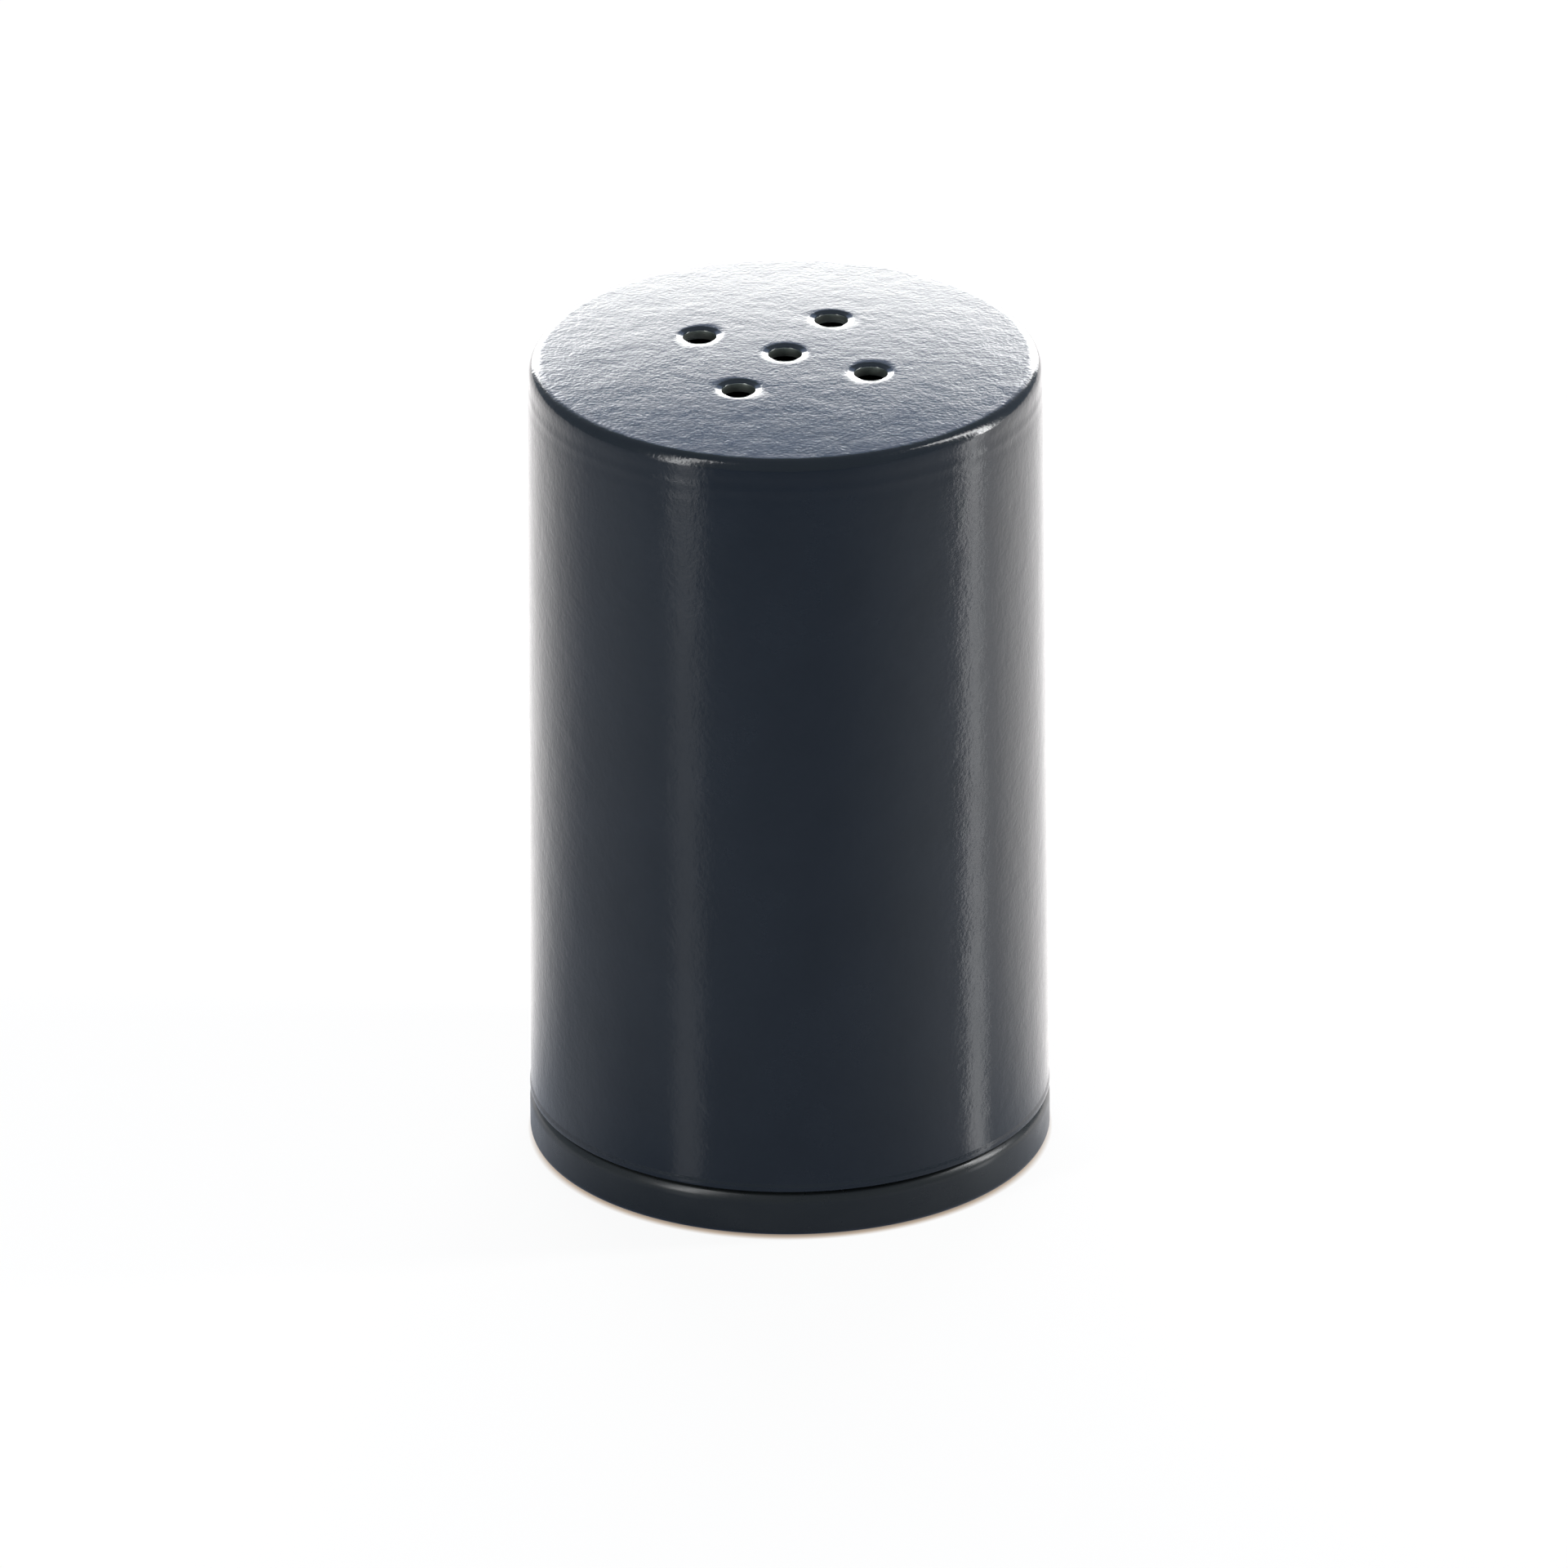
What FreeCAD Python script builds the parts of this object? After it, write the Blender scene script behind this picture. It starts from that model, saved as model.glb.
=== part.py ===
"""Hand shaker for ground spice: a drawn metal shell that screws onto a moulded base.

Millimetres. +Z is up and is the axis of the shaker. The origin is the middle of the
foot, on the surface that the shaker stands on.
"""

import FreeCAD
import Part
import os
import Sketcher


# Driving sizes, in millimetres unless a line says otherwise

SIZES = {
    # The whole shaker
    "body_radius": 20.0,
    "overall_height": 65.0,
    # Shell: a drawn cup, upside down
    "shell_wall": 0.8,
    "shoulder_round": 1.1,
    "lip_round": 0.3,
    "seam_gap": 0.05,
    # Pour holes, each in the middle of a shallow dish
    "hole_radius": 1.25,
    "hole_pitch_radius": 7.6,
    "hole_edge_break": 0.15,
    "dish_radius": 2.1,
    "dish_depth": 0.1,
    "ring_holes": 4,        # a count
    "ring_turn": -28.6,     # degrees
    # Base: the flange that shows and the spigot inside the shell
    "flange_height": 3.65,
    "flange_top_round": 0.7,
    "flange_foot_round": 0.5,
    "floor_thickness": 1.2,
    "well_round": 1.0,
    "spigot_height": 8.5,
    "spigot_wall": 1.6,
    "lead_in": 0.4,
    # Foot pad, in a recess under the base
    "pad_thickness": 1.0,
    "pad_recess": 0.8,
    "pad_gap": 0.1,
    "pad_round": 0.15,
    "foot_rim": 3.0,
    # Seal ring, round the root of the spigot
    "seal_thickness": 0.8,
    "seal_bore_gap": 0.05,
    "seal_edge_gap": 0.3,
    # Thread collar, bonded into the mouth of the shell
    "glue_gap": 0.05,
    "collar_wall": 1.65,
    "collar_height": 8.0,
    "collar_gap": 0.05,
    # Thread, the same form on the spigot and in the collar
    "thread_lead": 6.0,
    "thread_starts": 2,     # a count
    "thread_depth": 0.9,
    "thread_root_width": 1.65,
    "thread_crest_width": 0.95,
    "thread_clearance": 0.15,
    "thread_run": 3.5,
    "thread_offset": 3.7,
    "thread_bite": 0.3,
    # How far a cut runs past the face that it opens
    "overrun": 1.0,
}

FULL_TURN = 360.0
MATCH_SHARE = 1e-6


class Length:
    """A size together with the sheet's formula for it, so that sums of sizes stay formulas."""

    def __init__(self, value, formula):
        self.value = value
        self.formula = formula

    def __add__(self, other):
        return Length(self.value + other.value, f"({self.formula} + {other.formula})")

    def __sub__(self, other):
        return Length(self.value - other.value, f"({self.formula} - {other.formula})")

    def __truediv__(self, other):
        return Length(self.value / other.value, f"({self.formula} / {other.formula})")


def size(name):
    """A size of the sheet, by its alias."""
    return Length(SIZES[name], f"Sizes.{name}")


ZERO = Length(0.0, "0")
TWO = Length(2.0, "2")

# Radii, worked inwards from the outside of the shell

outer = size("body_radius")
shell_bore = outer - size("shell_wall")
collar_outer = shell_bore - size("glue_gap")
collar_bore = collar_outer - size("collar_wall")
collar_crest = collar_bore - size("thread_depth")
spigot_crest = collar_bore - size("thread_clearance")
spigot_core = spigot_crest - size("thread_depth")
well_radius = spigot_core - size("spigot_wall")
recess_radius = outer - size("foot_rim")

# Heights above the surface that the shaker stands on

foot_stand = size("pad_thickness") - size("pad_recess")
flange_top = foot_stand + size("flange_height")
shell_bottom = flange_top + size("seam_gap")
seal_top = flange_top + size("seal_thickness")
collar_bottom = seal_top + size("collar_gap")
half_pitch = size("thread_lead") / size("thread_starts") / TWO
spigot_thread_start = flange_top + size("thread_offset")
collar_thread_start = spigot_thread_start - half_pitch


def make_sheet(doc):
    """The sheet that holds the driving sizes, one alias to a row."""
    sheet = doc.addObject("Spreadsheet::Sheet", "Sizes")
    for row, (name, value) in enumerate(SIZES.items(), start=1):
        sheet.set(f"A{row}", name)
        sheet.set(f"B{row}", str(value))
        sheet.setAlias(f"B{row}", name)
    doc.recompute()


def new_body(doc, name):
    """An empty body whose label is the name of its piece."""
    body = doc.addObject("PartDesign::Body", name)
    body.Label = name
    return body


def raised(piece, height):
    """Stand a piece that is drawn from its own foot at its height above the table."""
    piece.setExpression("Placement.Base.z", height.formula)


def origin_feature(body, role):
    """One of the body's own planes or axes."""
    return next(item for item in body.Origin.OriginFeatures if item.Role == role)


def pin_coordinate(sketch, kind, geometry, end, length, label):
    """Hold one coordinate of an end at a length, or on the axis where the length is zero."""
    if length is ZERO:
        axis = -2 if kind == "DistanceX" else -1
        sketch.addConstraint(Sketcher.Constraint("PointOnObject", geometry, end, axis))
        return
    number = sketch.addConstraint(Sketcher.Constraint(kind, -1, 1, geometry, end, length.value))
    sketch.renameConstraint(number, label)
    sketch.setExpression(f"Constraints.{label}", length.formula)


def vector(corner):
    """A corner of an outline as a point of its sketch."""
    return FreeCAD.Vector(corner[0].value, corner[1].value, 0)


def outline(body, name, corners):
    """A closed outline of straight edges in the body's XZ plane, corner by corner."""
    sketch = body.newObject("Sketcher::SketchObject", name)
    sketch.AttachmentSupport = (origin_feature(body, "XZ_Plane"), [""])
    sketch.MapMode = "FlatFace"
    lines = []
    for start, end in zip(corners, corners[1:] + corners[:1]):
        lines.append(sketch.addGeometry(Part.LineSegment(vector(start), vector(end)), False))
    for index, (x, z) in enumerate(corners):
        sketch.addConstraint(Sketcher.Constraint("Coincident", lines[index - 1], 2, lines[index], 1))
        pin_coordinate(sketch, "DistanceX", lines[index], 1, x, f"x{index}")
        pin_coordinate(sketch, "DistanceY", lines[index], 1, z, f"z{index}")
    return sketch


def upright_axis(sketch, x, height):
    """A construction line parallel to Z, which a cut of the same sketch is turned about."""
    line = Part.LineSegment(vector((x, ZERO)), vector((x, height)))
    geometry = sketch.addGeometry(line, True)
    pin_coordinate(sketch, "DistanceX", geometry, 1, x, "axis_foot_x")
    pin_coordinate(sketch, "DistanceY", geometry, 1, ZERO, "axis_foot_z")
    pin_coordinate(sketch, "DistanceX", geometry, 2, x, "axis_head_x")
    pin_coordinate(sketch, "DistanceY", geometry, 2, height, "axis_head_z")


def turned(body, kind, name, sketch, axis="V_Axis"):
    """The sketch turned right round an axis: a Revolution adds material, a Groove removes it."""
    feature = body.newObject(f"PartDesign::{kind}", name)
    feature.Profile = sketch
    feature.ReferenceAxis = (sketch, [axis])
    feature.Angle = FULL_TURN
    body.Document.recompute()
    return feature


def ring_of(body, name, feature, count):
    """A feature repeated at equal steps round Z."""
    pattern = body.newObject("PartDesign::PolarPattern", name)
    pattern.Originals = [feature]
    pattern.Axis = (origin_feature(body, "Z_Axis"), [""])
    pattern.Angle = FULL_TURN
    pattern.setExpression("Occurrences", count.formula)
    body.Tip = pattern
    body.Document.recompute()
    return pattern


def circles_at(feature, radius, height):
    """Names of the feature's closed circular edges of one radius at one height."""
    slack = MATCH_SHARE * SIZES["overall_height"]
    names = []
    for number, edge in enumerate(feature.Shape.Edges, start=1):
        if edge.Degenerated or not edge.Closed or not isinstance(edge.Curve, Part.Circle):
            continue
        level = abs(edge.Curve.Center.z - height.value) < slack
        if level and abs(edge.Curve.Radius - radius.value) < slack:
            names.append(f"Edge{number}")
    return names


def finished_edge(body, kind, name, feature, edges, length):
    """A Fillet or a Chamfer along named edges of a feature."""
    finish = body.newObject(f"PartDesign::{kind}", name)
    finish.Base = (feature, edges)
    finish.setExpression("Radius" if kind == "Fillet" else "Size", length.formula)
    body.Document.recompute()
    return finish


def thread(body, name, root, crest, bite, start):
    """Both starts of a thread: a trapezium carried up a helix from a height, and its copy."""
    root_half = size("thread_root_width") / TWO
    crest_half = size("thread_crest_width") / TWO
    sketch = outline(body, f"{name}_form", [
        (bite, start - root_half),
        (root, start - root_half),
        (crest, start - crest_half),
        (crest, start + crest_half),
        (root, start + root_half),
        (bite, start + root_half),
    ])
    ridge = body.newObject("PartDesign::AdditiveHelix", name)
    ridge.Profile = sketch
    ridge.ReferenceAxis = (sketch, ["V_Axis"])
    ridge.Mode = "pitch-height-angle"
    ridge.setExpression("Pitch", size("thread_lead").formula)
    ridge.setExpression("Height", size("thread_run").formula)
    body.Document.recompute()
    return ring_of(body, f"{name}_starts", ridge, size("thread_starts"))


def shaker_shell(doc):
    """The drawn cup: wall, shoulder, flat end, lip and five dished pour holes."""
    body = new_body(doc, "shaker_shell")
    height = size("overall_height") - shell_bottom
    ceiling = height - size("shell_wall")
    wall = outline(body, "shell_section", [
        (shell_bore, ZERO),
        (outer, ZERO),
        (outer, height),
        (ZERO, height),
        (ZERO, ceiling),
        (shell_bore, ceiling),
    ])
    cup = turned(body, "Revolution", "drawn_cup", wall)
    shoulder = finished_edge(body, "Fillet", "shoulder", cup,
                             circles_at(cup, outer, height), size("shoulder_round"))
    inside = finished_edge(body, "Fillet", "inner_shoulder", shoulder,
                           circles_at(shoulder, shell_bore, ceiling),
                           size("shoulder_round") - size("shell_wall"))
    finished_edge(body, "Fillet", "lip", inside,
                  circles_at(inside, outer, ZERO), size("lip_round"))
    dish_floor = height - size("dish_depth")
    edge_break = size("hole_edge_break")
    for name, middle in (("centre_hole", ZERO), ("ring_hole", size("hole_pitch_radius"))):
        section = outline(body, f"{name}_section", [
            (middle, ceiling - size("overrun")),
            (middle + size("hole_radius"), ceiling - size("overrun")),
            (middle + size("hole_radius"), dish_floor - edge_break),
            (middle + size("hole_radius") + edge_break, dish_floor),
            (middle + size("dish_radius"), height),
            (middle + size("dish_radius"), height + size("overrun")),
            (middle, height + size("overrun")),
        ])
        if middle is ZERO:
            turned(body, "Groove", name, section)
        else:
            upright_axis(section, middle, height)
            hole = turned(body, "Groove", name, section, "Axis0")
            ring_of(body, "ring_holes", hole, size("ring_holes"))
    body.Placement.Rotation = FreeCAD.Rotation(FreeCAD.Vector(0, 0, 1), SIZES["ring_turn"])
    raised(body, shell_bottom)
    return body


def thread_collar(doc):
    """The moulded ring in the mouth of the shell, with the inside thread."""
    body = new_body(doc, "thread_collar")
    section = outline(body, "collar_section", [
        (collar_bore, ZERO),
        (collar_outer, ZERO),
        (collar_outer, size("collar_height")),
        (collar_bore, size("collar_height")),
    ])
    ring = turned(body, "Revolution", "collar_ring", section)
    finished_edge(body, "Chamfer", "collar_lead_in", ring,
                  circles_at(ring, collar_bore, ZERO), size("lead_in"))
    thread(body, "collar_thread", collar_bore, collar_crest, collar_bore + size("thread_bite"),
           collar_thread_start - collar_bottom)
    raised(body, collar_bottom)
    return body


def base_cap(doc):
    """The moulded base: the flange under the seam, the recess below it and the hollow spigot."""
    body = new_body(doc, "base_cap")
    flange = size("flange_height")
    rim = flange + size("spigot_height")
    well_floor = size("pad_recess") + size("floor_thickness")
    section = outline(body, "base_section", [
        (ZERO, size("pad_recess")),
        (recess_radius, size("pad_recess")),
        (recess_radius, ZERO),
        (outer, ZERO),
        (outer, flange),
        (spigot_core, flange),
        (spigot_core, rim),
        (well_radius, rim),
        (well_radius, well_floor),
        (ZERO, well_floor),
    ])
    solid = turned(body, "Revolution", "base_solid", section)
    top = finished_edge(body, "Fillet", "flange_top_edge", solid,
                        circles_at(solid, outer, flange), size("flange_top_round"))
    foot = finished_edge(body, "Fillet", "flange_foot_edge", top,
                         circles_at(top, outer, ZERO), size("flange_foot_round"))
    well = finished_edge(body, "Fillet", "well_corner", foot,
                         circles_at(foot, well_radius, well_floor), size("well_round"))
    finished_edge(body, "Chamfer", "spigot_lead_in", well,
                  circles_at(well, spigot_core, rim), size("lead_in"))
    thread(body, "spigot_thread", spigot_core, spigot_crest, spigot_core - size("thread_bite"),
           spigot_thread_start - foot_stand)
    raised(body, foot_stand)
    return body


def seal_ring(doc):
    """The soft flat ring between the flange and the collar."""
    cutter = doc.addObject("Part::Cylinder", "seal_bore")
    cutter.setExpression("Radius", (spigot_core + size("seal_bore_gap")).formula)
    cutter.setExpression("Height", size("seal_thickness").formula)
    disc = doc.addObject("Part::Cylinder", "seal_disc")
    disc.setExpression("Radius", (shell_bore - size("seal_edge_gap")).formula)
    disc.setExpression("Height", size("seal_thickness").formula)
    ring = doc.addObject("Part::Cut", "seal_ring")
    ring.Label = "seal_ring"
    ring.Base = disc
    ring.Tool = cutter
    raised(ring, flange_top)
    return ring


def foot_pad(doc):
    """The non-slip pad. It stands a little proud of the base and carries the shaker."""
    body = new_body(doc, "foot_pad")
    pad_radius = recess_radius - size("pad_gap")
    section = outline(body, "pad_section", [
        (ZERO, ZERO),
        (pad_radius, ZERO),
        (pad_radius, size("pad_thickness")),
        (ZERO, size("pad_thickness")),
    ])
    disc = turned(body, "Revolution", "pad_disc", section)
    finished_edge(body, "Fillet", "pad_edge", disc,
                  circles_at(disc, pad_radius, ZERO), size("pad_round"))
    return body


def check_document(doc):
    """Stop if any object of the document failed to compute."""
    for item in doc.Objects:
        failed = [state for state in item.State if state in ("Invalid", "Error")]
        if failed:
            raise RuntimeError(f"{item.Name} ({item.Label}) is {failed}")


def main():
    doc = FreeCAD.newDocument("Shaker")
    make_sheet(doc)
    pieces = [make(doc) for make in (base_cap, foot_pad, seal_ring, thread_collar, shaker_shell)]
    doc.recompute()
    check_document(doc)
    for piece in pieces:
        shape = piece.Shape
        if shape.isNull() or not shape.isValid() or len(shape.Solids) != 1:
            raise RuntimeError(f"{piece.Label} isn't one valid solid")
    os.makedirs("parts", exist_ok=True)
    for piece in pieces:
        piece.Shape.exportStep(f"parts/{piece.Label}.step")
        box = piece.Shape.BoundBox
        print(f"{piece.Label}: {piece.Shape.Volume:.2f} mm3, z {box.ZMin:.3f} to {box.ZMax:.3f}, "
              f"radius {box.XMax:.3f}, faces {len(piece.Shape.Faces)}")


main()
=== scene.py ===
# %% [markdown]
# # A hand spice shaker, surface by surface
#
# The shaker is a drawn metal cup, upside down, screwed onto a moulded base. Every piece is round
# about one axis, so most of the work is in good sections: where an edge is round, how the top is
# crowned, and how the sheet is pressed down into each pour hole. The frame gives the pieces' places,
# and this script gives them their surfaces, their finishes, a floor, lamps and a camera.

# %% Load the frame
import math

import bmesh
import bpy
import numpy as np
from mathutils import Matrix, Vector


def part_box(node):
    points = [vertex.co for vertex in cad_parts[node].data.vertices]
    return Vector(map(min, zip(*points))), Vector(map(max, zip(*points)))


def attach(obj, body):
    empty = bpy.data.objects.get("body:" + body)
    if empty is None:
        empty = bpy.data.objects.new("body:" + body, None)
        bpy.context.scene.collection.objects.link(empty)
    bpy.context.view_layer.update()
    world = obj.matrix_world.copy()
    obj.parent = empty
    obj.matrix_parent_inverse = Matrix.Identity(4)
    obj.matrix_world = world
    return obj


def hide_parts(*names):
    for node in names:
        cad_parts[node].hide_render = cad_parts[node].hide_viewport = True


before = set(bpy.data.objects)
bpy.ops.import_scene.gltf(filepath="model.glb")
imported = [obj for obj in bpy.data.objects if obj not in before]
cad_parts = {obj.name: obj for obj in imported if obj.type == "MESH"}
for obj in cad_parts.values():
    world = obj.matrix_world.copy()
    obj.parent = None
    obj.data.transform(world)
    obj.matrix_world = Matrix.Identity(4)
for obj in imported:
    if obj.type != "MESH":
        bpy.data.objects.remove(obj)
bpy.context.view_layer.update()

MM = 0.001
print("nodes:", sorted(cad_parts))

# %% [markdown]
# ## Sections with rounded corners
#
# A turned piece is settled by its section. A sharp corner never looks real, because even a crisp
# edge has a small round that catches the light, so each corner of a section is written with its
# radius. The straight runs get more points near their ends: smooth shading spreads a curve's shade
# into the next face, and a narrow face beside the round keeps that shade where it belongs.

# %% Points along a rounded outline
ROUND_STEPS = 8
RUN_STEPS = 10


def eased(count):
    """Numbers from 0 to 1, closer together near both ends: (1 - cos(pi u)) / 2 for even steps u."""
    return (1 - np.cos(np.pi * np.linspace(0, 1, count + 1))) / 2


def corner_arc(before, corner, after, radius):
    """The round of one corner. It touches both runs at radius / tan(half the angle) from the
    corner, and its centre lies on the bisector at radius / sin(half the angle)."""
    to_before = (before - corner) / np.linalg.norm(before - corner)
    to_after = (after - corner) / np.linalg.norm(after - corner)
    half = math.acos(np.clip(to_before @ to_after, -1, 1)) / 2
    bisector = (to_before + to_after) / np.linalg.norm(to_before + to_after)
    centre = corner + bisector * radius / math.sin(half)
    start = corner + to_before * radius / math.tan(half) - centre
    end = corner + to_after * radius / math.tan(half) - centre
    sweep = math.atan2(start[0] * end[1] - start[1] * end[0], start @ end)
    angles = sweep * np.linspace(0, 1, ROUND_STEPS + 1)
    across = np.array([-start[1], start[0]])
    return centre + np.cos(angles)[:, None] * start + np.sin(angles)[:, None] * across


def section(*corners, closed=False):
    """An outline through corners (radius from the axis, height, round), in millimetres. The ends
    of an open outline stay sharp. Returns points in rows of (r, z)."""
    places = np.array([corner[:2] for corner in corners], dtype=float)
    rounds = [corner[2] if len(corner) > 2 else 0.0 for corner in corners]
    count = len(corners)
    stretches = []
    for i in range(count):
        inner = closed or 0 < i < count - 1
        if inner and rounds[i] > 0:
            after = places[(i + 1) % count]
            stretches.append(corner_arc(places[i - 1], places[i], after, rounds[i]))
        else:
            stretches.append(places[i:i + 1])
    if closed:
        stretches.append(stretches[0][:1])
    points = [stretches[0]]
    for last, following in zip(stretches, stretches[1:]):
        run = last[-1] + eased(RUN_STEPS)[1:-1, None] * (following[0] - last[-1])
        points += [run, following]
    return np.concatenate(points)


# %% [markdown]
# ## Turning a section, and closing the mesh
#
# A turned surface is a grid: one row for each point of the section, one column for each step round
# the axis. The same number of columns everywhere lets neighbouring grids share their edge points,
# so that merging them closes the piece. The volume inside, summed over the faces, is positive only
# if the faces point outwards, which makes it a cheap and certain check.

# %% Grids, meshes and volumes
SIDE_STEPS = 36
COLUMNS = 4 * SIDE_STEPS
MERGE_DISTANCE = 1e-6


def turned(outline, first_angle=0.0):
    """x = r cos(angle), y = r sin(angle), z = z, for every section point and every angle."""
    angles = first_angle + np.linspace(0, 2 * np.pi, COLUMNS, endpoint=False)
    r, z = outline[:, :1], outline[:, 1:]
    return np.stack([r * np.cos(angles), r * np.sin(angles), z + 0 * angles], axis=-1)


def grid_faces(rows, columns, first, wrap):
    """Four-sided faces of a grid whose points are numbered row by row from the number first."""
    last = columns if wrap else columns - 1
    row, column = np.meshgrid(np.arange(rows - 1), np.arange(last), indexing="ij")
    beside = (column + 1) % columns
    corners = [row * columns + column, row * columns + beside,
               (row + 1) * columns + beside, (row + 1) * columns + column]
    return first + np.stack(corners, axis=-1).reshape(-1, 4)


def enclosed_volume(mesh):
    """Volume in cubic millimetres: the sum over triangles of a . (b x c) / 6."""
    mesh.calc_loop_triangles()
    points = np.empty(len(mesh.vertices) * 3)
    mesh.vertices.foreach_get("co", points)
    corners = np.empty(len(mesh.loop_triangles) * 3, dtype=np.int32)
    mesh.loop_triangles.foreach_get("vertices", corners)
    a, b, c = points.reshape(-1, 3)[corners.reshape(-1, 3)].transpose(1, 0, 2)
    return float(np.einsum("ij,ij->", a, np.cross(b, c)) / 6 / MM ** 3)


def make_piece(name, grids, material, body, node):
    """Join grids of points, in millimetres, into one smooth piece that rides on a body and stands
    for a node of the frame. Each grid is (points, wrap), and the faces are turned outwards if need
    be."""
    points, faces, first = [], [], 0
    for grid, wrap in grids:
        rows, columns = grid.shape[:2]
        points.append(grid.reshape(-1, 3))
        faces.append(grid_faces(rows, columns, first, wrap))
        first += rows * columns
    mesh = bpy.data.meshes.new(name)
    mesh.from_pydata((np.concatenate(points) * MM).tolist(), [], np.concatenate(faces).tolist())
    shaped = bmesh.new()
    shaped.from_mesh(mesh)
    bmesh.ops.remove_doubles(shaped, verts=shaped.verts, dist=MERGE_DISTANCE)
    bmesh.ops.recalc_face_normals(shaped, faces=shaped.faces)
    open_edges = sum(not edge.is_contiguous for edge in shaped.edges)
    shaped.to_mesh(mesh)
    shaped.free()
    if enclosed_volume(mesh) < 0:
        mesh.flip_normals()
    mesh.shade_smooth()
    mesh.materials.append(material)
    piece = bpy.data.objects.new(name, mesh)
    bpy.context.scene.collection.objects.link(piece)
    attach(piece, body)
    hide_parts(node)
    volume = enclosed_volume(mesh)
    print(f"{name}: {len(mesh.polygons)} faces, {open_edges} open edges, {volume:.0f} mm3")
    return piece


# %% [markdown]
# ## Finishes as nodes
#
# All the outer finishes here are near black, and black things are read by their gloss alone. So the
# work is in the roughness and in the fine relief: the orange peel of a sprayed coat, the grain of a
# textured mould. Patterns are read from Object coordinates, in metres, so that they stay fixed in
# the material. What belongs to a place on a piece, such as the bare steel in a hole, is read from
# values that the piece's own points carry.

# %% Helpers for node materials
NOISE_LOW = 0.3
NOISE_HIGH = 0.7


def new_finish(name):
    """A material with its node tree, its shader and a source of Object coordinates."""
    material = bpy.data.materials.new(name)
    material.use_nodes = True
    tree = material.node_tree
    shader = tree.nodes["Principled BSDF"]
    place = tree.nodes.new("ShaderNodeTexCoord").outputs["Object"]
    return material, tree, shader, place


def noise(tree, place, size, detail=2.0, roughness=0.5):
    """Noise whose blotches are about size millimetres wide."""
    node = tree.nodes.new("ShaderNodeTexNoise")
    node.inputs["Scale"].default_value = 1 / (size * MM)
    node.inputs["Detail"].default_value = detail
    node.inputs["Roughness"].default_value = roughness
    tree.links.new(place, node.inputs["Vector"])
    return node.outputs["Fac"]


def spread(tree, value, low, high):
    """The range that most noise values fall in, laid out from low to high."""
    node = tree.nodes.new("ShaderNodeMapRange")
    node.inputs["From Min"].default_value = NOISE_LOW
    node.inputs["From Max"].default_value = NOISE_HIGH
    node.inputs["To Min"].default_value = low
    node.inputs["To Max"].default_value = high
    tree.links.new(value, node.inputs["Value"])
    return node.outputs["Result"]


def carried(tree, name):
    """The values from 0 to 1 that a piece's points carry under a name."""
    node = tree.nodes.new("ShaderNodeAttribute")
    node.attribute_name = name
    return node.outputs["Fac"]


def blend_colours(tree, share, first, second):
    """A colour between two, by a share from 0 to 1. The first may be another node's output."""
    node = tree.nodes.new("ShaderNodeMix")
    node.data_type = "RGBA"
    if isinstance(first, tuple):
        node.inputs["A"].default_value = (*first, 1)
    else:
        tree.links.new(first, node.inputs["A"])
    node.inputs["B"].default_value = (*second, 1)
    tree.links.new(share, node.inputs["Factor"])
    return node.outputs["Result"]


def shifted(tree, share, value, target):
    """A value that moves to a fixed target by a share from 0 to 1."""
    node = tree.nodes.new("ShaderNodeMix")
    node.inputs["B"].default_value = target
    tree.links.new(value, node.inputs["A"])
    tree.links.new(share, node.inputs["Factor"])
    return node.outputs["Result"]


def relief(tree, height, depth, under=None):
    """A bump of a depth in millimetres, on top of an earlier one if there is one."""
    node = tree.nodes.new("ShaderNodeBump")
    node.inputs["Strength"].default_value = 1.0
    node.inputs["Distance"].default_value = depth * MM
    tree.links.new(height, node.inputs["Height"])
    if under is not None:
        tree.links.new(under, node.inputs["Normal"])
    return node.outputs["Normal"]


# %% [markdown]
# ## The coat on the shell
#
# The real shell has a satin black coat on drawn steel. Three things show: a slightly blue black, a
# gloss that changes a little over the surface, and a relief of long waves, orange peel and fine
# grain. The relief is only hundredths of a millimetre high, yet it breaks every reflection into
# soft mottles. Round the pour holes the sheet is pressed smooth, so the relief fades out there and
# the gloss is sharper. Inside the holes the steel is bare.

# %% Satin black coat
COAT_DARK = (0.0080, 0.0115, 0.0150)
COAT_LIGHT = (0.0110, 0.0150, 0.0195)
COAT_CLOUDS = 6.0
COAT_GLOSS = (0.14, 0.19)
GLOSS_CLOUDS = 2.2
COAT_IOR = 1.5
# Size and depth in millimetres, and the noise's detail and roughness, of waves, peel and grain.
COAT_RELIEF = ((3.4, 0.032, 2.0, 0.5), (1.3, 0.022, 2.0, 0.5), (0.32, 0.020, 3.0, 0.6))
BARE_STEEL = (0.42, 0.45, 0.41)
BARE_ROUGHNESS = 0.4
BARE_NAME = "bare"
PRESSED_ROUGHNESS = 0.11
PRESSED_NAME = "pressed"


def coat_relief(tree, place, pressed):
    """Each bump lies on the one before, and its strength is one minus the share of pressing."""
    unpressed = tree.nodes.new("ShaderNodeMath")
    unpressed.operation = "SUBTRACT"
    unpressed.inputs[0].default_value = 1.0
    tree.links.new(pressed, unpressed.inputs[1])
    normal = None
    for size, depth, detail, roughness in COAT_RELIEF:
        normal = relief(tree, noise(tree, place, size, detail, roughness), depth, normal)
        tree.links.new(unpressed.outputs[0], normal.node.inputs["Strength"])
    return normal


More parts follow.
